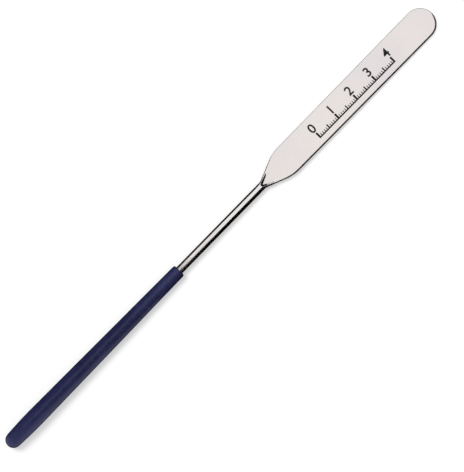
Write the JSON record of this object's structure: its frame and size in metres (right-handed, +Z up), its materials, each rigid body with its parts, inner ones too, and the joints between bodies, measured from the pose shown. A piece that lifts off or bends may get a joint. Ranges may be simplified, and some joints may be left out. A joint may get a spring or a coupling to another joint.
{
  "type": "palette knife",
  "caption": "Flat steel mixing and palette knife: round-tipped straight blade in the split, pronged end of a round rod, with a dipped vinyl grip.",
  "frame": {"origin": "centre of the bounding box, on the surface the knife rests on", "axes": "+X from the grip's butt towards the blade's tip, +Y across the blade, +Z up; the knife lies at rest, pitched 0.86 degrees nose down"},
  "size_m": [0.2286, 0.0124, 0.0073],
  "materials": {
    "blade_steel": "satin, finely drum-polished, with rounded bright edges",
    "rod_steel": "polished drawn wire with fine lines along it",
    "solder": "smooth silver-coloured solder filed flush",
    "grip_vinyl": "satin navy vinyl, dipped, faintly uneven",
    "scale_ink": "thin black screen-printed ink"
  },
  "bodies": {
    "root": {"blade": "blade_steel", "shank_rod": "rod_steel", "solder_fill": "solder", "grip": "grip_vinyl"}
  },
  "joints": []
}
